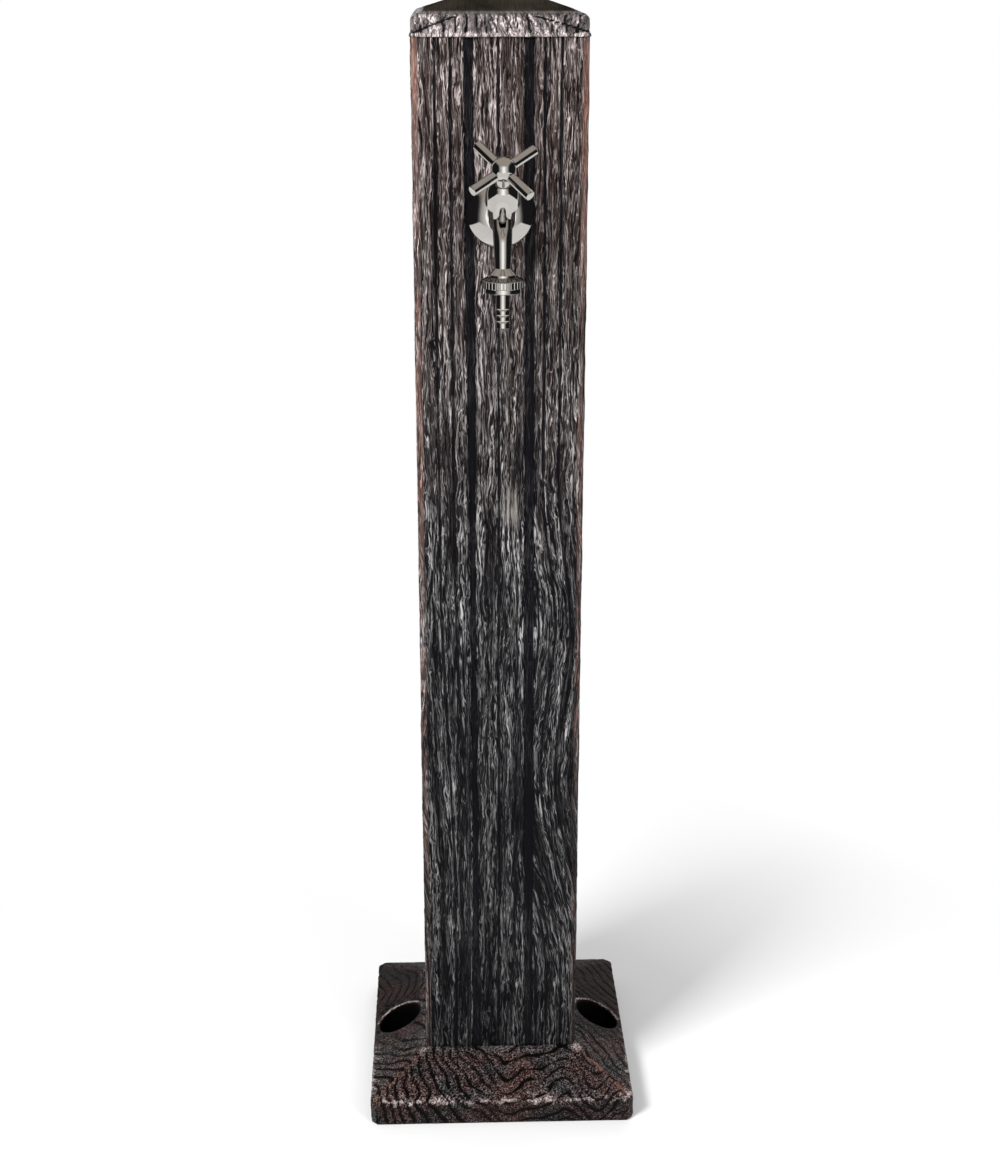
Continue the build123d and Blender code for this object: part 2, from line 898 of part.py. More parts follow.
def inlet_locknut():
    bottom = floor_bottom - locknut_height
    nut = hexagon(connector_flats, bottom, locknut_height)
    return connector_plane * (nut - rod(fitting_thread_radius + thread_gap, bottom, locknut_height))


def riser_pipe():
    bottom = connector_top() - elbow_pipe_depth + cut_over
    top = tap_height - elbow_leg_length + elbow_pipe_depth
    return connector_plane * tube(pipe_radius, pipe_radius - pipe_wall, bottom, top - bottom)


pieces = (
    base_casting, column_shell, cap_casting, column_screws, column_screw_washers,
    wall_rose, rose_seal, tap_body, tap_backnut, tap_backnut_washer,
    headwork_body, headwork_washer, headwork_bell,
    valve_spindle, spindle_o_rings, spindle_circlip,
    jumper_valve, jumper_washer, jumper_nut,
    handle_hub, handle_arms, handle_dome, handle_screw,
    hose_washer, hose_nut, hose_tail,
    supply_elbow, elbow_olive, elbow_nut, riser_pipe,
    inlet_connector, inlet_olive, inlet_nut, inlet_locknut,
)

os.makedirs("parts", exist_ok=True)
for piece in pieces:
    shape = piece()
    if isinstance(shape, list):
        shape = Compound(children=shape)
    export_step(shape, f"parts/{piece.__name__}.step")
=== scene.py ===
import json
import math

import bmesh
import bpy
import numpy as np
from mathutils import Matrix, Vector


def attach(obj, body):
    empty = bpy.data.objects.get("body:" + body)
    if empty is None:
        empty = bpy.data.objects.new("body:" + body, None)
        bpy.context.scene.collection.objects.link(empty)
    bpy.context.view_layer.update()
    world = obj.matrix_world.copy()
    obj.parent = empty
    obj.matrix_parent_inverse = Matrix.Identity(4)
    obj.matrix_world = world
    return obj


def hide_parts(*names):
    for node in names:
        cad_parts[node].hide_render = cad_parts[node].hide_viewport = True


# Looks of the garden standpipe. Lengths in the relief functions are millimetres,
# and Blender's own are metres.

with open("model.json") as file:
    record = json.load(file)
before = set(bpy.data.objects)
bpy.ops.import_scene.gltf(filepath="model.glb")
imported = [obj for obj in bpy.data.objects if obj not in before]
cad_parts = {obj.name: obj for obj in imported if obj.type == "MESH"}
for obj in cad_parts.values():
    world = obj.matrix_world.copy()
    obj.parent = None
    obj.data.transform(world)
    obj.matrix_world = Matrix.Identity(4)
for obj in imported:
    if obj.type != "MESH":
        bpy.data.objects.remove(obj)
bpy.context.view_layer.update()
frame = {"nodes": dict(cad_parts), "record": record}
nodes = frame["nodes"]


MM = 0.001

# Sizes that follow the solids
COLUMN_HALF = 70.0
COLUMN_INNER_HALF = 65.0
COLUMN_BEVEL = 6.0
COLUMN_FOOT = 48.0
COLUMN_TOP = 946.0
BASE_HALF = 120.0
BASE_EDGE = 24.0
CAP_EDGE = 16.0
CAP_SIDE_SHIFT = 300.0
TAP_HEIGHT = 812.0
TAP_HOLE_RADIUS = 11.2
POCKET_OFFSET = 95.0
POCKET_RIM = 20.5

# Threads. Root and crest are distances from the plain cylinder, the half width is a share
# of the pitch, and the run-out counts steps. The outlet's ridge lies between two heights
# above the spout's end, and the inlet's between the connector's end and its locknut.
THREAD_RADIUS = 10.4
THREAD_PITCH = 1.814
THREAD_CREST = 0.3
THREAD_ROOT = 0.25
THREAD_HALF_WIDTH = 0.40
THREAD_STEPS = 48
THREAD_RUN_OUT = 8
OUTLET_THREAD = (1.0, 7.2)
INLET_MARGINS = (1.2, 0.3)

# Fineness of the made meshes
SKIN_STEP = 0.66
SKIN_ROWS = 330
BEVEL_SHARES = (0.14, 0.29, 0.43, 0.57, 0.71, 0.86)
BASE_CELL = 1.7
CAP_CELL = 1.25

# Places across a plank face, widths and depths of its grooves
BROAD_GROOVES = ((-21.98, 7.4, 2.4), (25.48, 7.4, 2.4))
FINE_GROOVES = (
    (-50.96, 2.4, 1.3), (-38.5, 2.4, 1.4), (-1.54, 2.2, 1.3), (35.0, 2.4, 1.2), (48.02, 2.4, 1.3),
)
SWIRL_GROOVES = ((21.0, 2.0, 1.2), (8.0, 2.2, 1.2))
HOLLOW_DEPTH = 2.6

# Marks on the front: place across, height, half width and half height
BARE_PATCH = (51, 372, 9.0, 36)
BLOTCH = (9, 572, 5.5, 15)


# Smooth random fields

def smooth(t):
    return t * t * (3 - 2 * t)


def ramp(value, low, high):
    """From 0 at low to 1 at high, with soft ends."""
    return smooth(np.clip((value - low) / (high - low), 0.0, 1.0))


def value_noise(x, y, seed):
    """Smooth random field from 0 to 1 with one random value per whole-number corner."""
    x0 = np.floor(x).astype(np.int64)
    y0 = np.floor(y).astype(np.int64)
    tx = smooth(x - x0)
    ty = smooth(y - y0)

    def corner(i, j):
        h = ((x0 + i) * 374761393 + (y0 + j) * 668265263 + seed * 362437) & 0xFFFFFFFF
        h = ((h ^ (h >> 13)) * 1274126177) & 0xFFFFFFFF
        return ((h ^ (h >> 16)) & 0xFFFF) / 65535.0

    low = corner(0, 0) * (1 - tx) + corner(1, 0) * tx
    high = corner(0, 1) * (1 - tx) + corner(1, 1) * tx
    return low * (1 - ty) + high * ty


def layered_noise(x, y, seed, layers=3):
    """Random fields of smaller and smaller size laid over each other, from 0 to 1."""
    total = np.zeros_like(x)
    weight = 0.0
    for layer in range(layers):
        share = 0.5 ** layer
        total += share * value_noise(x * 2 ** layer, y * 2 ** layer, seed + 17 * layer)
        weight += share
    return total / weight


def ridges(x, y, seed):
    """Thin crests where the random field passes its middle value."""
    return 1 - np.abs(2 * value_noise(x, y, seed) - 1)


def strings(x, y, seed):
    """Long wandering crests, one to each whole number of x, some of them broken off."""
    shifted = x + 0.9 * (value_noise(x / 2.3, y, seed) - 0.5)
    crest = 1 - np.abs(2 * (shifted - np.floor(shifted)) - 1)
    whole = value_noise(np.floor(shifted), y * 1.3, seed + 3)
    return crest ** 1.5 * (0.35 + 0.65 * ramp(whole, 0.2, 0.6))


# Meshes from arrays

def mesh_piece(name, points_mm, faces, values=None):
    """A new object with one named number per point for the materials to read."""
    mesh = bpy.data.meshes.new(name)
    mesh.from_pydata((points_mm * MM).tolist(), [], faces)
    for key, numbers in (values or {}).items():
        layer = mesh.attributes.new(key, "FLOAT", "POINT")
        layer.data.foreach_set("value", np.asarray(numbers, np.float32))
    mesh.update()
    for polygon in mesh.polygons:
        polygon.use_smooth = True
    piece = bpy.data.objects.new(name, mesh)
    bpy.context.scene.collection.objects.link(piece)
    return piece


def finish_piece(piece, body, slot, *replaced):
    """Material, body and slot of a made piece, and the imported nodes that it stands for."""
    piece.data.materials.clear()
    piece.data.materials.append(slot_materials[slot])
    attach(piece, body)
    if replaced:
        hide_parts(*replaced)


def remeshed(node, cell_mm):
    """An even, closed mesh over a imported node, as vertex and face arrays in mm."""
    source = bpy.data.objects.new("remesh_source", nodes[node].data.copy())
    bpy.context.scene.collection.objects.link(source)
    welded = bmesh.new()
    welded.from_mesh(source.data)
    bmesh.ops.remove_doubles(welded, verts=welded.verts, dist=0.00001)
    welded.to_mesh(source.data)
    welded.free()
    cells = source.modifiers.new("cells", "REMESH")
    cells.mode = "VOXEL"
    cells.voxel_size = cell_mm * MM
    cells.adaptivity = 0.0
    graph = bpy.context.evaluated_depsgraph_get()
    mesh = bpy.data.meshes.new_from_object(source.evaluated_get(graph))
    points = np.zeros(len(mesh.vertices) * 3)
    mesh.vertices.foreach_get("co", points)
    normals = np.zeros(len(mesh.vertices) * 3)
    mesh.vertex_normals.foreach_get("vector", normals)
    faces = [tuple(polygon.vertices) for polygon in mesh.polygons]
    bpy.data.objects.remove(source)
    bpy.data.meshes.remove(mesh)
    return points.reshape(-1, 3) / MM, normals.reshape(-1, 3), faces


# Wood relief of the column

def groove(u, centre, width, depth, soft):
    """A groove with a flat floor and soft sides."""
    return depth * ramp(width / 2 + soft / 2 - np.abs(u - centre), 0.0, soft)


def mark(u, z, shape, power):
    """1 in the middle of a round mark, falling to 0 outside it."""
    across, height, half_width, half_height = shape
    return np.exp(-((u - across) / half_width) ** power - ((z - height) / half_height) ** power)


def grain_swirl(u, z):
    """How far the grain of the outer planks leans aside towards the foot."""
    swirl = 34.0 * ramp(330 - z, 0.0, 210.0) + 13.0 * ramp(z - 330, 0.0, 150.0)
    swirl = swirl * ramp(u, 25.5, 29.5) * ramp(600 - z, 0.0, 160.0)
    return swirl + 10.0 * ramp(520 - z, 0.0, 300.0) * ramp(-u, 26.5, 30.5)


def plank_depth(u, z, side):
    """The planks' depth behind the face, their wear, the grooves' floors and the grain's place."""
    seed = 101 * side
    fade = 1 - 0.55 * ramp(150 - z, 0.0, 90.0)
    wander = 1.6 * (layered_noise(u / 40, z / 70, seed + 1) - 0.5)
    drift = 2.8 * (z - 100) / 850
    middle = ramp(700 - z, 0.0, 160.0) * ramp(z, 120.0, 260.0)
    narrow = (1 - 0.38 * middle, 1 + 0.15 * middle)
    swirl = grain_swirl(u, z)

    # Broad grooves lean across the face, and fine ones follow the grain
    depth = np.zeros_like(u)
    floor_share = np.zeros_like(u)
    for number, (centre, width, deep) in enumerate(BROAD_GROOVES):
        edge = 1.5 * (value_noise(u * 0, z / 14 + 9 * number, seed + 2) - 0.5)
        cut = groove(u + drift + wander * 0.6, centre, width * narrow[number] + edge, 1.0, 2.0)
        depth += deep * cut * fade
        floor_share = np.maximum(floor_share, cut)
    for number, (centre, width, deep) in enumerate(FINE_GROOVES + SWIRL_GROOVES):
        edge = 1.3 * (value_noise(u * 0 + number, z / 11, seed + 3) - 0.4)
        cut = groove(u + wander - swirl, centre, width + edge, 1.0, 1.4)
        if number >= len(FINE_GROOVES):
            cut = cut * ramp(u, 27.0, 30.0)
        depth += deep * cut * fade
        floor_share = np.maximum(floor_share, 0.9 * cut)

    # Strings of grain between the grooves
    warp = 5.0 * (layered_noise(u / 15, z / 70, seed + 4) - 0.5)
    warp += 2.2 * (value_noise(u / 4.2, z / 17, seed + 5) - 0.5)
    line = u + warp - swirl
    thick = strings(line / 3.6, z / 40, seed + 6)
    thin = strings(line / 2.1 + 0.3, z / 21, seed + 7)
    broken = value_noise(line / 3.0, z / 22, seed + 8)
    crest = (0.55 * thick + 0.45 * thin) * (0.45 + 0.55 * broken)
    depth = depth + 1.5 * (1 - crest) * (1 - 0.8 * floor_share)

    # Wear on the crests and on the lips of the grooves
    patches = layered_noise(u / 24, z / 70, seed + 9)
    wear = ramp(crest, 0.30, 0.80) * (0.5 + 0.8 * patches)
    wear = wear * (1 + 0.9 * ramp(340 - z, 0.0, 60.0) * ramp(u, 27.0, 31.0))
    lips = np.zeros_like(u)
    for number, (centre, width, _deep) in enumerate(BROAD_GROOVES + FINE_GROOVES):
        if number < len(BROAD_GROOVES):
            across = np.abs(u + drift + wander * 0.6 - centre) - width * narrow[number] / 2
        else:
            across = np.abs(u + wander - swirl - centre) - width / 2
        lips = np.maximum(lips, ramp(1.1 - np.abs(across - 1.1), 0.0, 1.1))
    wear = np.maximum(wear, 0.75 * lips * ramp(broken, 0.25, 0.6)) * (1 - floor_share)
    wear = wear * (1 - 0.85 * mark(u, z, BARE_PATCH, 2) * (side == 0))
    return depth, wear, floor_share, line


def column_outline():
    """Points round the column: place, outward direction, side number and the way along it."""
    flat = COLUMN_HALF - COLUMN_BEVEL
    along = np.arange(-flat, flat + 0.01, SKIN_STEP)
    places, outwards, sides, ways = [], [], [], []
    for side, turn in enumerate((0, 90, 180, 270)):
        cos, sin = math.cos(math.radians(turn)), math.sin(math.radians(turn))
        for u in along:
            places.append((u * cos + COLUMN_HALF * sin, u * sin - COLUMN_HALF * cos))
            outwards.append((sin, -cos))
            sides.append(side)
            ways.append(u)
        half = math.radians(turn + 45)
        for share in BEVEL_SHARES:
            x = flat + COLUMN_BEVEL * share
            y = -COLUMN_HALF + COLUMN_BEVEL * share
            places.append((x * cos - y * sin, x * sin + y * cos))
            outwards.append((math.sin(half), -math.cos(half)))
            sides.append(side)
            ways.append(flat + COLUMN_BEVEL * 1.4 * share)
    return np.array(places), np.array(outwards), np.array(sides), np.array(ways)


def bevel_share(u):
    """From 0 on the flat of a face to 1 on its bevel."""
    return ramp(np.abs(u), COLUMN_HALF - COLUMN_BEVEL - 1.0, COLUMN_HALF - COLUMN_BEVEL + 1.5)


def hole_rim(removed):
    """Vertices round the cells left out, in order and counter-clockwise from outside."""
    edges = {(cell[k], cell[(k + 1) % 4]) for cell in removed for k in range(4)}
    follows = {first: second for first, second in edges if (second, first) not in edges}
    rim = [min(follows)]
    while follows[rim[-1]] != rim[0]:
        rim.append(follows[rim[-1]])
    return rim


def arc(ring, first, last):
    """The part of a closed ring from one place to another."""
    return ring[first:last + 1] if first <= last else ring[first:] + ring[:last + 1]


def outside_cells(outer, count, rows):
    """Faces of the outside, and the cells that the tap hole leaves out."""
    kept, removed = [], []
    for row in range(rows - 1):
        for column in range(count):
            a, b = row * count + column, row * count + (column + 1) % count
            x, y, z = outer[a]
            in_hole = y < 0 and math.hypot(x, z - TAP_HEIGHT) < TAP_HOLE_RADIUS + 1.0
            (removed if in_hole else kept).append((a, b, b + count, a + count))
    return kept, removed


def inside_wall(outer, removed):
    """Points and faces of the smooth inside and of the tap hole's wall."""
    inner = []
    for height in (COLUMN_FOOT, COLUMN_TOP):
        for sx, sy in ((-1, -1), (1, -1), (1, 1), (-1, 1)):
            inner.append((sx * COLUMN_INNER_HALF, sy * COLUMN_INNER_HALF, height))
    start = len(outer)
    rim = hole_rim(removed)
    inner_rim = [start + len(inner) + k for k in range(len(rim))]
    faces = []
    for k, place in enumerate(rim):
        following = (k + 1) % len(rim)
        faces.append((place, rim[following], inner_rim[following], inner_rim[k]))
        inner.append((outer[place][0], -COLUMN_INNER_HALF, outer[place][2]))
    left = min(range(len(rim)), key=lambda k: outer[rim[k]][0])
    right = max(range(len(rim)), key=lambda k: outer[rim[k]][0])
    faces.append((start + 1, start, *arc(inner_rim, left, right)))
    faces.append((start + 4, start + 5, *arc(inner_rim, right, left)))
    faces.append((start, start + 4, inner_rim[left]))
    faces.append((start + 5, start + 1, inner_rim[right]))
    for side in (1, 2, 3):
        following = (side + 1) % 4
        faces.append((start + following, start + side, start + side + 4, start + following + 4))
    return inner, faces


def wall_ends(count, rows, start):
    """The ring of wall at the foot of the column and the one at its top."""
    faces = []
    per_side = count // 4
    for side in range(4):
        corner_a, corner_b = start + side, start + (side + 1) % 4
        chain = [(side * per_side + k) % count for k in range(per_side + 1)]
        faces.append((corner_a, corner_b, *chain[::-1]))
    for side in range(4):
        corner_a, corner_b = start + 4 + side, start + 4 + (side + 1) % 4
        chain = [(rows - 1) * count + (side * per_side + k) % count for k in range(per_side + 1)]
        faces.append((corner_b, corner_a, *chain))
    return faces


def without_loose(points, faces, values):
    """The same mesh without the points that no face uses."""
    used = sorted({vertex for face in faces for vertex in face})
    number = {old: new for new, old in enumerate(used)}
    faces = [tuple(number[vertex] for vertex in face) for face in faces]
    return points[used], faces, {key: numbers[used] for key, numbers in values.items()}


def column_skin():
    """The column's wall with cast wood relief outside and smooth faces inside."""
    places, outwards, sides, ways = column_outline()
    heights = np.linspace(COLUMN_FOOT, COLUMN_TOP, SKIN_ROWS)
    u = np.tile(ways, (len(heights), 1))
    z = np.tile(heights[:, None], (1, len(ways)))
    depth = np.zeros_like(u)
    wear = np.zeros_like(u)
    floors = np.zeros_like(u)
    grain = np.zeros_like(u)
    for side, place_round in enumerate((0, 1, 2, -1)):
        chosen = sides == side
        depth[:, chosen], wear[:, chosen], floors[:, chosen], line = plank_depth(
            u[:, chosen], z[:, chosen], side
        )
        grain[:, chosen] = (line + 2 * COLUMN_HALF * place_round) * MM
    blotch = mark(u, z, BLOTCH, 4) * (sides == 0)
    corner = bevel_share(u)
    depth = depth * (1 - 0.5 * corner)
    x = places[:, 0] - outwards[:, 0] * depth
    y = places[:, 1] - outwards[:, 1] * depth
    outer = np.stack([x, y, z], axis=-1).reshape(-1, 3)
    count, rows = len(ways), len(heights)
    faces, removed = outside_cells(outer, count, rows)
    inner, inner_faces = inside_wall(outer, removed)
    faces = faces + inner_faces + wall_ends(count, rows, len(outer))
    fields = {
        "wear": wear,
        "hollow": np.clip(depth / HOLLOW_DEPTH, 0, 1),
        "groove_floor": floors,
        "corner": corner,
        "blotch": blotch,
        "grain": grain,
    }
    extra = np.zeros(len(inner))
    values = {key: np.concatenate([field.reshape(-1), extra]) for key, field in fields.items()}
    points = np.vstack([outer, np.array(inner)])
    return mesh_piece("column_planks", *without_loose(points, faces, values))


# Relief of the base

def ring_lines(field, width):
    """Dark cut lines where a field passes whole numbers, 1 on the line."""
    return 1 - ramp(np.abs(field - np.round(field)), 0.0, width)


def base_field(x, y, z):
    """Growth rings laid out differently on each side of the base."""
    warp = 1.1 * layered_noise(x / 48, (y + z) / 40, 11)
    warp = warp + 0.6 * value_noise(x / 13, (y + z) / 12, 12)
    reach = np.clip(-y - COLUMN_HALF, 0, None) + np.clip(BASE_EDGE - z, 0, None)
    steep = -2.0 * np.log1p(np.exp(-(x + 15) / 14))
    falling = (0.012 + 0.075 * ramp(x, -105.0, 5.0)) * reach
    waves = (0.9 * np.cos((x - 8) / 13) + 0.5 * np.cos((x - 40) / 7)) * ramp(x, -30.0, 10.0)
    front = steep - falling + waves
    left = (y + 0.9 * (x + 95) + 3 * np.sin(y / 11)) / 15.0
    steep_left = (x + 0.1 * y + 5 * np.sin(y / 13)) / 8.0
    left = left + (steep_left - left) * ramp(y, 22.0, 34.0)
    right = (y + 0.9 * (x - 70) + 7 * np.sin(y / 23)) / 13.0
    back = np.sqrt((x + 20) ** 2 + (1.8 * (np.abs(y) - 60)) ** 2) / 9.5
    on_side = np.abs(x) > np.abs(y)
    field = np.where(y < 0, front, back)
    field = np.where(on_side & (x < 0), left, field)
    field = np.where(on_side & (x > 0), right, field)
    return field + warp


def base_skin():
    """The base with growth rings cut into it, where its finish is worn or dark, and where shade
    and highlights are painted on it.
    """
    points, normals, faces = remeshed("base_casting", BASE_CELL)
    x, y, z = points.T
    reach = np.maximum(np.abs(x), np.abs(y))
    from_pocket = np.hypot(np.abs(x) - POCKET_OFFSET, y)
    from_corner = np.hypot(np.abs(x) - COLUMN_HALF, np.abs(y) - COLUMN_HALF)
    outside = (normals[:, 2] > 0.25) & (z > 20)
    outside |= (reach > BASE_HALF - 1.2) & (z > 0.8)
    outside &= (from_pocket > POCKET_RIM) & (reach > COLUMN_HALF - 2)
    fade = np.where(outside, ramp(from_pocket, POCKET_RIM, 25.0), 0.0)
    strength = 0.35 + 0.9 * value_noise(x / 11, (y + z) / 11, 21)
    strength = strength + 0.6 * ramp(-x, 20.0, 60.0) * (y < -COLUMN_HALF)
    lines = ring_lines(base_field(x, y, z), 0.18) * np.minimum(strength, 1.25)
    pits = value_noise(x / 2.4, (y + 0.8 * z) / 2.4, 22)
    depth = fade * (1.2 * lines + 0.4 * pits)
    points = points - normals * depth[:, None]
    points[:, 2] = np.maximum(points[:, 2], 0.0)
    spikes = 1.0 + 5.5 * value_noise((x + y) / 2.2, 0 * z, 24) ** 3
    edge_band = ramp(spikes - np.abs(z - BASE_EDGE + 0.3), -0.6, 1.4) * (reach > BASE_HALF - 9)
    hips = ramp(4.0 - np.abs(np.abs(x) - np.abs(y)), 0.0, 4.0) * (z > BASE_EDGE)
    collar = ramp(9 - (reach - COLUMN_HALF), 0.0, 6.0) * (z > 36)
    feet = ramp(7 - from_corner, 0.0, 8.0) * (z > 30)
    # Painted highlight: a pale band on the far side of each pocket's rim, where the rim catches
    # the light.
    rim_highlight = ramp(from_pocket, 20.4, 21.2) * ramp(24.5 - from_pocket, 0.0, 2.5) * ramp(y, -4.0, 8.0)
    patchy = layered_noise(x / 9, (y + z) / 9, 23)
    # Painted shade: the insides of the anchor pockets are coloured black where shade falls in
    # them.
    pocket_painted_shade = 1.0 * (from_pocket < 20.2) * (z > 5) * (z < 46) * (normals[:, 2] < 0.6)
    pocket_painted_shade = np.maximum(pocket_painted_shade, 1.0 * (from_pocket < 19.0) * (z < 8) * (z > 3))
    # Share towards the front. The paler front against the darker sides and back is painted light,
    # and the wear marks also fade away from the front.
    front_share = ramp(-y, -30.0, 90.0)
    wear = edge_band * (0.15 + 0.85 * front_share)
    wear = wear + 0.25 * hips * front_share + 0.35 * collar * front_share + 0.8 * feet
    wear = wear * ramp(patchy, 0.22, 0.55) * (1 - 0.8 * lines)
    rim_highlight = 1.2 * rim_highlight * ramp(patchy, 0.20, 0.50) * (normals[:, 2] > 0.1)
    # Painted shade: the vertical faces below the top edge are darkened and given the darker side
    # colours.
    face = ramp(BASE_EDGE - z, 1.0, 6.0)
    values = {
        # Pale marks: worn paint, with the painted highlight on the far side of the pockets.
        "wear": np.maximum(fade * wear, rim_highlight),
        # Dark marks: cut lines and pits, with painted shade on the vertical faces and inside the
        # pockets.
        "hollow": np.maximum(fade * np.clip(lines + 0.2 * pits + 0.15 * face, 0, 1), pocket_painted_shade),
        # Share of the paler front colour and dust; the sides, the back and the vertical faces keep
        # the darker colours as painted shade.
        "front": np.maximum(front_share, 0.8 * collar) * (1 - 0.45 * face),
        # Copper on the front hips, partly copper colour and partly a painted highlight.
        "hip": hips * front_share * outside * (0.5 + 0.5 * ramp(x, -60.0, 60.0)),
        "collar": collar * front_share * outside,
    }
    return mesh_piece("base_wood", points, faces, values)


# Relief of the cap

def cap_skin():
    """The cap with cracks in its rim over a plain hem, painted shade along two diagonal folds, and
    a softly uneven roof.
    """
    points, normals, faces = remeshed("cap_casting", CAP_CELL)
    x, y, z = points.T
    above = z - COLUMN_TOP
    reach = np.maximum(np.abs(x), np.abs(y))
    side = np.abs(normals[:, 2]) < 0.92
    rim_band = (above > 0.6) & (reach > 60) & (above < CAP_EDGE + 6)
    outside = rim_band & (normals[:, 0] * x + normals[:, 1] * y + normals[:, 2] * 30 > 0) & side
    on_side = np.abs(x) > np.abs(y)
    along = np.where(on_side, y, x) + np.where(on_side, CAP_SIDE_SHIFT, 0.0)
    lean = along + 0.7 * above * (value_noise(along / 34, above * 0, 31) - 0.5)
    cracks = ridges(lean / 4.2 + 0.9 * value_noise(lean / 7, above / 6, 34), above / 22, 32) ** 3
    cell = lean / 8.5 + 0.35 * value_noise(lean / 5, above / 6, 33)
    from_crack = np.abs(cell - np.round(cell)) * 8.5
    kept = value_noise(np.round(cell) * 1.7, above * 0, 37)
    kept = kept + 0.35 * value_noise(np.round(cell), above / 7, 38)
    deep_cracks = ramp(1.0 - from_crack, 0.0, 0.9) * ramp(kept, 0.50, 0.62)
    crumple = value_noise(lean / 2.6, above / 3.4, 35)
    centred = along - np.round(along / CAP_SIDE_SHIFT) * CAP_SIDE_SHIFT
    left_fold = np.abs(centred + 52 - 2.6 * (above - 9)) / 2.8
    right_fold = np.abs(centred - 50 + 3.4 * (above - 9)) / 3.5
    folds = np.minimum(left_fold, right_fold)
    # Painted shade: dark lines where two diagonal folds cross the rim; the relief doesn't raise
    # the folds.
    fold_painted_shade = 0.9 * ramp(0.9 - folds, 0.0, 0.7) * (above > 3) * (above < CAP_EDGE)
    hem = ramp(above, 2.2, 4.2)
    lip = (1 - hem) * (above > 0.4)
    band = np.where(outside, ramp(CAP_EDGE + 5 - above, 0.0, 5.0), 0.0) * hem
    depth = band * (1.1 * deep_cracks + 0.55 * (1 - cracks) * 0.8 + 0.55 * crumple)
    roof = (normals[:, 2] > 0.6) & (above > CAP_EDGE)
    waves = layered_noise(x / 24, y / 24, 36)
    depth = depth + np.where(roof, 0.5 * waves, 0.0)
    points = points - normals * depth[:, None]
    wear = band * ramp(0.5 * crumple + 0.5 * cracks, 0.25, 0.75) * (1 - deep_cracks)
    values = {
        "wear": np.clip(wear + 0.7 * lip * (reach > 66), 0, 1),
        # Dark marks: the cracks, with the painted shade of the folds.
        "hollow": np.clip(band * (0.9 * deep_cracks + 0.4 * (1 - cracks)) + fold_painted_shade, 0, 1),
        "grain": lean * MM,
        "roof": ramp(above, CAP_EDGE - 1.5, CAP_EDGE + 4.5) * (normals[:, 2] > 0.0),
    }
    return mesh_piece("cap_wood", points, faces, values)


# Colours, as linear red, green and blue

GROUND_LOW = (0.0030, 0.0030, 0.0040)
GROUND_HIGH = (0.0050, 0.0030, 0.0030)
BODY_FOOT = (0.0055, 0.0055, 0.0065)
BODY_LOW = (0.024, 0.023, 0.025)
BODY_HIGH = (0.112, 0.080, 0.072)
SILVER_LOW = (0.62, 0.61, 0.61)
SILVER_HIGH = (0.98, 0.85, 0.82)
SMEAR = (0.33, 0.31, 0.28)
CORNER_COPPER = (0.66, 0.34, 0.26)
GROOVE_BLACK = (0.003, 0.003, 0.0045)
BASE_GREY = (0.0065, 0.0052, 0.0052)
BASE_BROWN = (0.020, 0.0085, 0.0075)
# Colours of the sides and back, darker than the front: painted shade.
SHADED_SIDE_GREY = (0.0050, 0.0036, 0.0036)
SHADED_SIDE_BROWN = (0.0165, 0.0062, 0.0055)
DUST_GREY = (0.52, 0.49, 0.49)
DUST_COPPER = (0.70, 0.48, 0.43)
# Copper of the hips, partly a painted highlight.
HIP_COPPER_AND_HIGHLIGHT = (0.40, 0.17, 0.12)
# Black of the cut lines, and painted shade in the pockets and on the vertical faces.
CUT_LINE_BLACK_AND_SHADE = (0.002, 0.0015, 0.0015)
EDGE_SILVER = (0.72, 0.60, 0.58)
CAP_DARK = (0.05, 0.044, 0.044)
CAP_LIGHT = (0.17, 0.14, 0.14)
CAP_SILVER = (0.74, 0.65, 0.64)
# Black of the cracks, and the painted shade of the folds.
CRACK_BLACK_AND_FOLD_SHADE = (0.003, 0.003, 0.003)
ROOF_DARK = (0.010, 0.009, 0.006)
ROOF_LIGHT = (0.040, 0.032, 0.026)
RUBBER_DARK = (0.012, 0.012, 0.012)
RUBBER_LIGHT = (0.03, 0.03, 0.03)

# Name, colour, colour of the haze, roughness, then scale, stretch and depth of the marks
METALS = {
    "chrome": (
        "polished_chrome", (0.56, 0.54, 0.51), (0.50, 0.48, 0.455), 0.045,
        700.0, (1, 1, 1), 0.02,
    ),
    "brass": (
        "machined_brass", (0.62, 0.42, 0.15), (0.45, 0.30, 0.12), 0.22,
        900.0, (0.2, 0.2, 3.0), 0.06,
    ),
    "steel": (
        "plain_steel", (0.58, 0.58, 0.60), (0.45, 0.45, 0.46), 0.28,
        900.0, (1, 1, 1), 0.05,
    ),
    "copper": (
        "drawn_copper", (0.72, 0.33, 0.20), (0.45, 0.20, 0.13), 0.24,
        500.0, (2.0, 2.0, 0.05), 0.05,
    ),
}


# Materials

def shader(name):
    """A new material with its node tree and its main shader."""
    material = bpy.data.materials.new(name)
    material.use_nodes = True
    tree = material.node_tree
    return material, tree, tree.nodes["Principled BSDF"]


def add(tree, kind, **settings):
    """A new node with these settings."""
    made = tree.nodes.new(kind)
    for key, value in settings.items():
        setattr(made, key, value)
    return made


def feed(tree, source, node, socket):
    tree.links.new(source, node.inputs[socket])


def attribute(tree, name):
    return add(tree, "ShaderNodeAttribute", attribute_name=name).outputs["Fac"]


def noise(tree, scale, detail=3.0, stretch=(1, 1, 1), roughness=0.55, place=None):
    if place is None:
        place = add(tree, "ShaderNodeTexCoord").outputs["Object"]
    mapping = add(tree, "ShaderNodeMapping")
    mapping.inputs["Scale"].default_value = stretch
    feed(tree, place, mapping, "Vector")
    texture = add(tree, "ShaderNodeTexNoise")
    texture.inputs["Scale"].default_value = scale
    texture.inputs["Detail"].default_value = detail
    texture.inputs["Roughness"].default_value = roughness
    feed(tree, mapping.outputs["Vector"], texture, "Vector")
    return texture.outputs["Fac"]


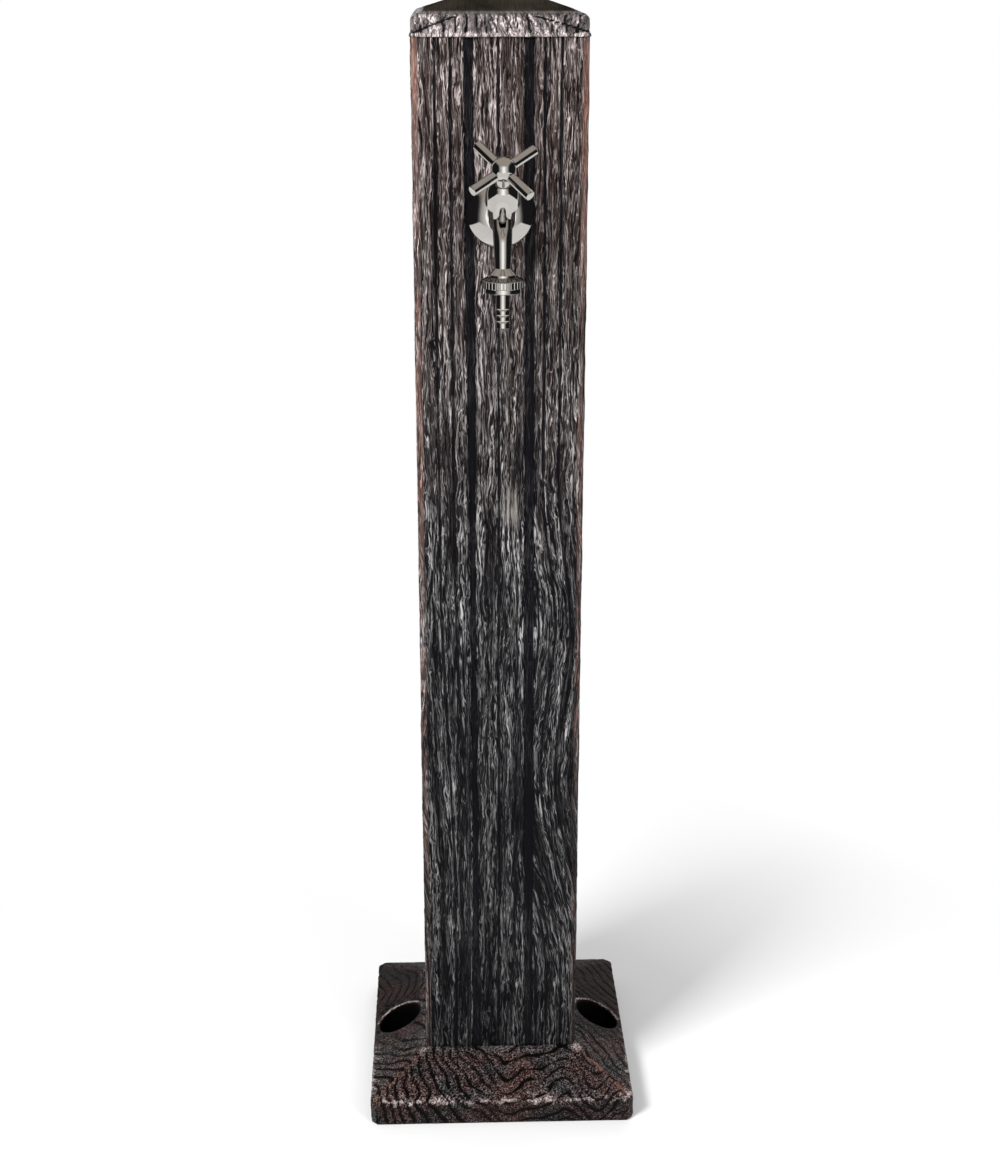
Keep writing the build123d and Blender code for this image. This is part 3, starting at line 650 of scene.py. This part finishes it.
def wiggled(tree, place, size_mm, scale, along=1.0):
    """The place with small random shifts, so that straight lines turn wavy."""
    stretched = add(tree, "ShaderNodeMapping")
    stretched.inputs["Scale"].default_value = (1, 1, along)
    feed(tree, place, stretched, "Vector")
    texture = add(tree, "ShaderNodeTexNoise")
    texture.inputs["Scale"].default_value = scale
    texture.inputs["Detail"].default_value = 2.0
    feed(tree, stretched.outputs["Vector"], texture, "Vector")
    centred = add(tree, "ShaderNodeVectorMath", operation="SUBTRACT")
    feed(tree, texture.outputs["Color"], centred, 0)
    centred.inputs[1].default_value = (0.5, 0.5, 0.5)
    scaled = add(tree, "ShaderNodeVectorMath", operation="SCALE")
    feed(tree, centred.outputs[0], scaled, 0)
    scaled.inputs["Scale"].default_value = size_mm * MM
    moved = add(tree, "ShaderNodeVectorMath", operation="ADD")
    feed(tree, place, moved, 0)
    feed(tree, scaled.outputs[0], moved, 1)
    return moved.outputs[0]


def grain_place(tree):
    """Place across and along the grain that the relief follows, and the height, in metres."""
    height = add(tree, "ShaderNodeSeparateXYZ")
    feed(tree, add(tree, "ShaderNodeTexCoord").outputs["Object"], height, 0)
    place = add(tree, "ShaderNodeCombineXYZ")
    feed(tree, attribute(tree, "grain"), place, "X")
    feed(tree, height.outputs["Z"], place, "Z")
    return place.outputs[0], height.outputs["Z"]


def strands(tree, place, scale, length_share, thin):
    """Thin wavy lines along the grain, 1 on the line."""
    field = noise(tree, scale, 2.0, (1, 1, length_share), 0.6, place)
    away = combine(tree, "ABSOLUTE", combine(tree, "SUBTRACT", field, 0.5), 0.0)
    return curve(tree, away, thin, 0.0)


def curve(tree, source, low, high, bottom=0.0, top=1.0):
    """The source stretched from low..high to bottom..top, kept in range."""
    node = add(tree, "ShaderNodeMapRange")
    node.inputs["From Min"].default_value = low
    node.inputs["From Max"].default_value = high
    node.inputs["To Min"].default_value = bottom
    node.inputs["To Max"].default_value = top
    feed(tree, source, node, "Value")
    return node.outputs["Result"]


def combine(tree, operation, first, second):
    """One sum, product or other result of two sockets or numbers."""
    node = add(tree, "ShaderNodeMath", operation=operation)
    for socket, value in zip(node.inputs, (first, second)):
        if isinstance(value, (int, float)):
            socket.default_value = value
        else:
            tree.links.new(value, socket)
    return node.outputs[0]


def times(tree, first, second):
    return combine(tree, "MULTIPLY", first, second)


def larger(tree, first, second):
    return combine(tree, "MAXIMUM", first, second)


def blend_colours(tree, share, first, second):
    node = add(tree, "ShaderNodeMix", data_type="RGBA")
    feed(tree, share, node, 0)
    for socket, value in ((node.inputs[6], first), (node.inputs[7], second)):
        if isinstance(value, tuple):
            socket.default_value = (*value, 1.0)
        else:
            tree.links.new(value, socket)
    return node.outputs[2]


def set_bump(tree, principled, height, distance_mm, strength=1.0):
    node = add(tree, "ShaderNodeBump")
    node.inputs["Strength"].default_value = strength
    node.inputs["Distance"].default_value = distance_mm * MM
    feed(tree, height, node, "Height")
    feed(tree, node.outputs["Normal"], principled, "Normal")


def plank_material():
    """Black ground, brown to grey body, silver wear along the grain and copper corners."""
    material, tree, principled = shader("antique_planks")
    straight, height = grain_place(tree)
    wavy = wiggled(tree, straight, 3.4, 110.0, 0.45)
    broad = strands(tree, wavy, 310.0, 0.055, 0.034)
    fine = strands(tree, wavy, 600.0, 0.045, 0.046)
    cracks = strands(tree, wiggled(tree, straight, 3.0, 100.0, 0.45), 240.0, 0.035, 0.050)
    gaps = noise(tree, 130.0, 2.0, (1, 1, 0.12), 0.6, straight)
    patches = noise(tree, 22.0, 2.0, (1, 1, 0.3), 0.5, straight)
    specks = noise(tree, 1500.0, 1.0)
    bands = noise(tree, 105.0, 1.0, (1, 1, 0.05), 0.5, straight)
    bands = curve(tree, bands, 0.36, 0.56, 0.22, 1.0)
    bands = larger(tree, bands, curve(tree, height, 0.45, 0.75, 0.0, 0.55))
    chips = noise(tree, 260.0, 2.0, (1, 1, 0.15), 0.6, straight)
    chips = curve(tree, chips, 0.42, 0.56, 0.12, 1.0)
    chips = larger(tree, chips, curve(tree, height, 0.62, 0.85, 0.0, 0.8))
    hollow = attribute(tree, "hollow")
    floors = attribute(tree, "groove_floor")

    upper = curve(tree, height, 0.50, 0.88)
    dark = blend_colours(tree, upper, GROUND_LOW, GROUND_HIGH)
    body = blend_colours(tree, upper, BODY_LOW, BODY_HIGH)
    body = blend_colours(tree, curve(tree, height, 0.08, 0.32), BODY_FOOT, body)
    silver = blend_colours(tree, upper, SILVER_LOW, SILVER_HIGH)

    raised = curve(tree, hollow, 0.22, 0.65, 1.0, 0.0)
    flat = times(tree, curve(tree, specks, 0.3, 0.6, 0.3, 1.0), raised)
    colour = blend_colours(tree, flat, dark, body)
    shown = curve(tree, patches, 0.34, 0.62, 0.6, 1.0)
    shown = times(tree, curve(tree, gaps, 0.34, 0.54, 0.35, 1.0), shown)
    lines = times(tree, larger(tree, broad, times(tree, fine, 0.72)), shown)
    worn = times(tree, attribute(tree, "wear"), curve(tree, fine, 0.05, 0.75, 0.04, 1.0))
    worn = times(tree, larger(tree, lines, worn), bands)
    low = curve(tree, height, 0.06, 0.50, 0.50, 1.0)
    shine = times(tree, curve(tree, worn, 0.05, 0.90), low)
    colour = blend_colours(tree, shine, colour, silver)
    smear = times(tree, attribute(tree, "blotch"), curve(tree, gaps, 0.30, 0.50, 0.4, 0.9))
    colour = blend_colours(tree, smear, colour, SMEAR)
    colour = blend_colours(tree, curve(tree, cracks, 0.1, 0.8, 0.0, 0.95), colour, dark)
    copper = times(tree, attribute(tree, "corner"), curve(tree, patches, 0.38, 0.58, 0.1, 1.0))
    copper = times(tree, copper, curve(tree, fine, 0.0, 0.8, 0.20, 1.0))
    copper = times(tree, copper, curve(tree, height, 0.30, 0.90, 0.35, 1.0))
    copper = times(tree, copper, chips)
    colour = blend_colours(tree, copper, colour, CORNER_COPPER)
    colour = blend_colours(tree, curve(tree, floors, 0.2, 0.8, 0.0, 0.96), colour, GROOVE_BLACK)

    feed(tree, colour, principled, "Base Color")
    feed(tree, curve(tree, specks, 0.3, 0.7, 0.42, 0.62), principled, "Roughness")
    feed(tree, curve(tree, worn, 0.1, 0.8, 0.05, 0.30), principled, "Specular IOR Level")
    crest = combine(tree, "SUBTRACT", larger(tree, broad, times(tree, fine, 0.6)), cracks)
    crest = times(tree, crest, curve(tree, floors, 0.0, 1.0, 1.0, 0.1))
    set_bump(tree, principled, crest, 0.6, 1.0)
    return material


def base_material():
    """Dark casting with copper dust, worn pale at the front edge, with painted highlights on the
    pockets' far edges and the front hips, and painted shade on the sides, back, vertical faces and
    in the pockets.
    """
    material, tree, principled = shader("antique_base")
    clouds = noise(tree, 30.0, 3.0)
    grains = noise(tree, 520.0, 3.0, (1, 1, 1), 0.7)
    wavy = wiggled(tree, add(tree, "ShaderNodeTexCoord").outputs["Object"], 5.0, 190.0)
    flecks = strands(tree, wavy, 440.0, 0.8, 0.042)
    streaks = strands(tree, wavy, 360.0, 0.25, 0.07)
    collar = attribute(tree, "collar")
    front = attribute(tree, "front")
    hollow = attribute(tree, "hollow")

    warm = curve(tree, collar, 0.0, 0.8, 1.0, 0.15)
    warm = times(tree, curve(tree, clouds, 0.38, 0.62), warm)
    colour = blend_colours(tree, warm, BASE_GREY, BASE_BROWN)
    # Painted shade: the sides and back get darker colours than the front.
    sides = blend_colours(tree, warm, SHADED_SIDE_GREY, SHADED_SIDE_BROWN)
    colour = blend_colours(tree, curve(tree, front, 0.15, 0.85), sides, colour)
    pale = blend_colours(tree, warm, DUST_GREY, DUST_COPPER)
    # Pale dust flecks, kept mostly to the front; having less of them on the sides and back is part
    # of the painted shade.
    dust = times(tree, flecks, curve(tree, front, 0.0, 1.0, 0.10, 0.95))
    dust = times(tree, dust, curve(tree, grains, 0.38, 0.58, 0.1, 1.0))
    colour = blend_colours(tree, dust, colour, pale)
    # Copper on the front hips, partly a painted highlight.
    hips = times(tree, attribute(tree, "hip"), curve(tree, grains, 0.40, 0.58, 0.1, 0.8))
    colour = blend_colours(tree, hips, colour, HIP_COPPER_AND_HIGHLIGHT)
    # Cut lines and pits turn black, with painted shade on the vertical faces and inside the
    # pockets.
    colour = blend_colours(tree, curve(tree, hollow, 0.15, 0.6, 0.0, 1.0), colour, CUT_LINE_BLACK_AND_SHADE)
    worn = times(tree, attribute(tree, "wear"), curve(tree, grains, 0.38, 0.58, 0.25, 1.2))
    worn = times(tree, worn, curve(tree, streaks, 0.0, 0.7, 0.25, 1.0))
    colour = blend_colours(tree, curve(tree, worn, 0.08, 0.9, 0.0, 0.95), colour, EDGE_SILVER)

    feed(tree, colour, principled, "Base Color")
    feed(tree, curve(tree, grains, 0.3, 0.7, 0.42, 0.62), principled, "Roughness")
    principled.inputs["Specular IOR Level"].default_value = 0.08
    set_bump(tree, principled, combine(tree, "ADD", times(tree, flecks, 0.5), grains), 1.0, 0.9)
    return material


def cap_material():
    """Cracked silver band round a plain dark roof."""
    material, tree, principled = shader("antique_cap")
    straight, _height = grain_place(tree)
    wavy = wiggled(tree, straight, 5.0, 190.0)
    crests = strands(tree, wavy, 330.0, 0.30, 0.10)
    cracks = strands(tree, wavy, 230.0, 0.12, 0.050)
    clouds = noise(tree, 26.0, 3.0)
    grains = noise(tree, 700.0, 3.0, (1, 1, 0.5), 0.7)
    hollow = attribute(tree, "hollow")
    roof_share = attribute(tree, "roof")

    side = blend_colours(tree, curve(tree, clouds, 0.35, 0.65), CAP_DARK, CAP_LIGHT)
    worn = times(tree, attribute(tree, "wear"), curve(tree, grains, 0.38, 0.60, 0.1, 1.0))
    worn = curve(tree, worn, 0.05, 0.7, 0.15, 1.0)
    worn = times(tree, worn, curve(tree, crests, 0.0, 0.8, 0.12, 1.0))
    side = blend_colours(tree, curve(tree, worn, 0.02, 0.7, 0.0, 0.95), side, CAP_SILVER)
    # Black for the cracks, with the painted shade of the folds.
    black = larger(tree, curve(tree, hollow, 0.25, 0.7), cracks)
    side = blend_colours(tree, black, side, CRACK_BLACK_AND_FOLD_SHADE)
    roof = blend_colours(tree, curve(tree, clouds, 0.3, 0.7), ROOF_DARK, ROOF_LIGHT)

    feed(tree, blend_colours(tree, roof_share, side, roof), principled, "Base Color")
    feed(tree, curve(tree, grains, 0.3, 0.7, 0.34, 0.52), principled, "Roughness")
    feed(tree, curve(tree, roof_share, 0.3, 0.9, 0.15, 0.0), principled, "Specular IOR Level")
    relief = combine(tree, "SUBTRACT", times(tree, crests, 0.6), cracks)
    relief = combine(tree, "ADD", relief, times(tree, grains, 0.8))
    set_bump(tree, principled, relief, 0.6, 0.8)
    return material


def metal_material(name, colour, dull, roughness, grain_scale, stretch, bump_mm):
    """Bare or plated metal with faint marks and patches of haze."""
    material, tree, principled = shader(name)
    principled.inputs["Metallic"].default_value = 1.0
    haze = noise(tree, 60.0, 3.0)
    marks = noise(tree, grain_scale, 3.0, stretch)
    hazy = blend_colours(tree, curve(tree, haze, 0.3, 0.75), colour, dull)
    feed(tree, hazy, principled, "Base Color")
    rough = curve(tree, haze, 0.3, 0.7, roughness, roughness * 1.8)
    feed(tree, rough, principled, "Roughness")
    set_bump(tree, principled, marks, bump_mm, 0.4)
    return material


def rubber_material():
    material, tree, principled = shader("black_rubber")
    grains = noise(tree, 1200.0, 2.0)
    colour = blend_colours(tree, curve(tree, grains, 0.4, 0.6), RUBBER_DARK, RUBBER_LIGHT)
    feed(tree, colour, principled, "Base Color")
    principled.inputs["Roughness"].default_value = 0.7
    set_bump(tree, principled, grains, 0.1, 0.4)
    return material


slot_materials = {slot: metal_material(*looks) for slot, looks in METALS.items()}
slot_materials["rubber"] = rubber_material()
slot_materials["casting_base"] = base_material()
slot_materials["casting_column"] = plank_material()
slot_materials["casting_cap"] = cap_material()

for part in frame["record"]["subparts"]:
    node = nodes[part["node"]]
    node.data.materials.clear()
    node.data.materials.append(slot_materials[part["material_slot"]])

finish_piece(column_skin(), "column", "casting_column", "column_shell")
finish_piece(base_skin(), "column", "casting_base", "base_casting")
finish_piece(cap_skin(), "column", "casting_cap", "cap_casting")


# Threads that are bare, or bare once the nut is off

def node_span(name):
    """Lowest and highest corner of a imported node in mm."""
    node = nodes[name]
    places = [tuple(node.matrix_world @ vertex.co) for vertex in node.data.vertices]
    corners = np.array(places) / MM
    return corners.min(axis=0), corners.max(axis=0)


def thread_piece(name, centre, bottom, top, slot):
    """A closed helical ridge that stands out of a plain cylinder and runs out at both ends."""
    steps = int((top - bottom) / THREAD_PITCH * THREAD_STEPS)
    points, faces = [], []
    for step in range(steps + 1):
        angle = 2 * math.pi * step / THREAD_STEPS
        height = bottom + THREAD_PITCH * step / THREAD_STEPS
        full = min(1.0, step / THREAD_RUN_OUT, (steps - step) / THREAD_RUN_OUT)
        section = (
            (-THREAD_ROOT, THREAD_HALF_WIDTH), (THREAD_CREST * full, 0.0),
            (-THREAD_ROOT, -THREAD_HALF_WIDTH),
        )
        for out, rise in section:
            points.append((
                centre[0] + (THREAD_RADIUS + out) * math.cos(angle),
                centre[1] + (THREAD_RADIUS + out) * math.sin(angle),
                height + rise * THREAD_PITCH,
            ))
    for step in range(steps):
        for edge in range(3):
            a, b = 3 * step + edge, 3 * step + (edge + 1) % 3
            faces.append((a, b, b + 3, a + 3))
    faces.append((0, 2, 1))
    faces.append((3 * steps, 3 * steps + 1, 3 * steps + 2))
    piece = mesh_piece(name, np.array(points), faces)
    for polygon in piece.data.polygons:
        polygon.use_smooth = False
    finish_piece(piece, "column", slot)


tail_low, tail_high = node_span("hose_tail")
tap_low, _tap_high = node_span("tap_body")
connector_low, connector_high = node_span("inlet_connector")
locknut_low, _locknut_high = node_span("inlet_locknut")
thread_piece(
    "outlet_thread", (tail_low[:2] + tail_high[:2]) / 2,
    tap_low[2] + OUTLET_THREAD[0], tap_low[2] + OUTLET_THREAD[1], "chrome",
)
thread_piece(
    "inlet_thread", (connector_low[:2] + connector_high[:2]) / 2,
    connector_low[2] + INLET_MARGINS[0], locknut_low[2] - INLET_MARGINS[1], "brass",
)


# Studio

FLOOR_SIZE = 3.4
FLOOR_BELOW = 0.0004
FLOOR_COLOUR = (0.93, 0.93, 0.93)
WHITE = (1, 1, 1)
AHEAD_GREY = (0.26, 0.25, 0.24)
OVERHEAD_GREY = (0.5, 0.46, 0.42)
ASIDE_BLACK = (0.015, 0.015, 0.017)
SOFT_LIGHT = 0.40
BRIGHT_CORE = 1.7

# Name, place, size, power and whether shiny metal shows the lamp
LAMPS = (
    ("key", (-1.5, -1.5, 2.2), (0.8, 0.8), 78.0, False),
    ("fill", (1.5, -1.8, 1.4), (0.8, 1.4), 20.0, False),
    ("back", (0.4, 1.9, 1.6), (1.6, 1.2), 14.0, True),
)
LAMP_TARGET = (0, 0, 0.5)

# Camera at the photograph's viewing angle
PHOTO_HEIGHT = 1168
FOCAL_PIXELS = 1794.7
SENSOR_WIDTH = 36.0
CAMERA_PLACE = (-0.0442, -1.49905, 1.00889)
CAMERA_TURNS = (90 - 19.4613, 0.0237, -1.7595)


def area_light(name, place, size, power, in_metal):
    lamp = bpy.data.lights.new(name, "AREA")
    lamp.shape = "RECTANGLE"
    lamp.size, lamp.size_y = size
    lamp.energy = power
    light = bpy.data.objects.new(name, lamp)
    light.location = place
    way = Vector(LAMP_TARGET) - Vector(place)
    light.rotation_euler = way.to_track_quat("-Z", "Y").to_euler()
    light.visible_glossy = in_metal
    bpy.context.scene.collection.objects.link(light)


def glowing(tree, kind, colour, strength):
    """An emission or background shader of one colour."""
    node = add(tree, kind)
    node.inputs["Color"].default_value = (*colour, 1.0)
    node.inputs["Strength"].default_value = strength
    return node.outputs[0]


def plain_light(tree, colour, strength=1.0):
    return glowing(tree, "ShaderNodeBackground", colour, strength)


def mix_shaders(tree, share, first, second):
    node = add(tree, "ShaderNodeMixShader")
    for socket, source in enumerate((share, first, second)):
        feed(tree, source, node, socket)
    return node.outputs[0]


def make_floor():
    """A floor that turns white away from the object and lets the view from below through."""
    bpy.ops.mesh.primitive_plane_add(size=FLOOR_SIZE, location=(0, 0, -FLOOR_BELOW))
    floor = bpy.context.object
    floor.name = "studio_floor"
    material, tree, principled = shader("pale_floor")
    principled.inputs["Base Color"].default_value = (*FLOOR_COLOUR, 1.0)
    principled.inputs["Roughness"].default_value = 0.9
    length = add(tree, "ShaderNodeVectorMath", operation="LENGTH")
    feed(tree, add(tree, "ShaderNodeTexCoord").outputs["Object"], length, 0)
    far = curve(tree, length.outputs["Value"], 0.22, 0.62)
    paths = add(tree, "ShaderNodeLightPath").outputs
    seen = larger(tree, paths["Is Camera Ray"], paths["Is Glossy Ray"])
    seen = larger(tree, seen, paths["Is Transmission Ray"])
    white = glowing(tree, "ShaderNodeEmission", WHITE, 1.0)
    surface = mix_shaders(tree, times(tree, far, seen), principled.outputs[0], white)
    below = add(tree, "ShaderNodeNewGeometry").outputs["Backfacing"]
    clear = add(tree, "ShaderNodeBsdfTransparent").outputs[0]
    surface = mix_shaders(tree, below, surface, clear)
    feed(tree, surface, tree.nodes["Material Output"], "Surface")
    floor.data.materials.append(material)


def make_world():
    """Soft light, a white background, and a room of light and dark zones for the metal.

    Directions run from -1 to 1, with Y pointing away from the front of the object.
    """
    world = bpy.data.worlds.new("studio")
    world.use_nodes = True
    bpy.context.scene.world = world
    tree = world.node_tree
    tree.nodes.clear()
    output = add(tree, "ShaderNodeOutputWorld")
    paths = add(tree, "ShaderNodeLightPath").outputs
    way = add(tree, "ShaderNodeSeparateXYZ")
    feed(tree, add(tree, "ShaderNodeTexCoord").outputs["Generated"], way, 0)
    aside = combine(tree, "ABSOLUTE", way.outputs["X"], 0.0)
    level = curve(tree, way.outputs["Z"], 0.76, 0.55)
    level = times(tree, curve(tree, way.outputs["Z"], -0.60, -0.45), level)
    dark_side = times(tree, curve(tree, aside, 0.60, 0.77), level)
    behind = curve(tree, way.outputs["Y"], 0.25, -0.15)
    overhead = curve(tree, way.outputs["Z"], 0.35, 0.6)

    white = plain_light(tree, WHITE)
    core = curve(tree, aside, 0.10, 0.30)
    core = mix_shaders(tree, core, plain_light(tree, WHITE, BRIGHT_CORE), white)
    ahead = curve(tree, aside, 0.30, 0.72)
    ahead = mix_shaders(tree, ahead, core, plain_light(tree, AHEAD_GREY))
    room = mix_shaders(tree, behind, white, ahead)
    room = mix_shaders(tree, overhead, room, plain_light(tree, OVERHEAD_GREY))
    room = mix_shaders(tree, dark_side, room, plain_light(tree, ASIDE_BLACK))
    soft = plain_light(tree, WHITE, SOFT_LIGHT)
    shiny = mix_shaders(tree, paths["Is Glossy Ray"], soft, room)
    seen = mix_shaders(tree, paths["Is Camera Ray"], shiny, white)
    through = mix_shaders(tree, paths["Is Transmission Ray"], seen, white)
    feed(tree, through, output, "Surface")


def make_camera():
    camera = bpy.data.cameras.new("photo_camera")
    camera.sensor_width = SENSOR_WIDTH
    camera.lens = FOCAL_PIXELS / PHOTO_HEIGHT * SENSOR_WIDTH
    camera.clip_end = 50.0
    place = bpy.data.objects.new("photo_camera", camera)
    place.location = CAMERA_PLACE
    place.rotation_euler = [math.radians(turn) for turn in CAMERA_TURNS]
    bpy.context.scene.collection.objects.link(place)
    bpy.context.scene.camera = place


make_camera()
make_floor()
make_world()
for lamp_values in LAMPS:
    area_light(*lamp_values)
bpy.context.scene.view_settings.view_transform = "Standard"
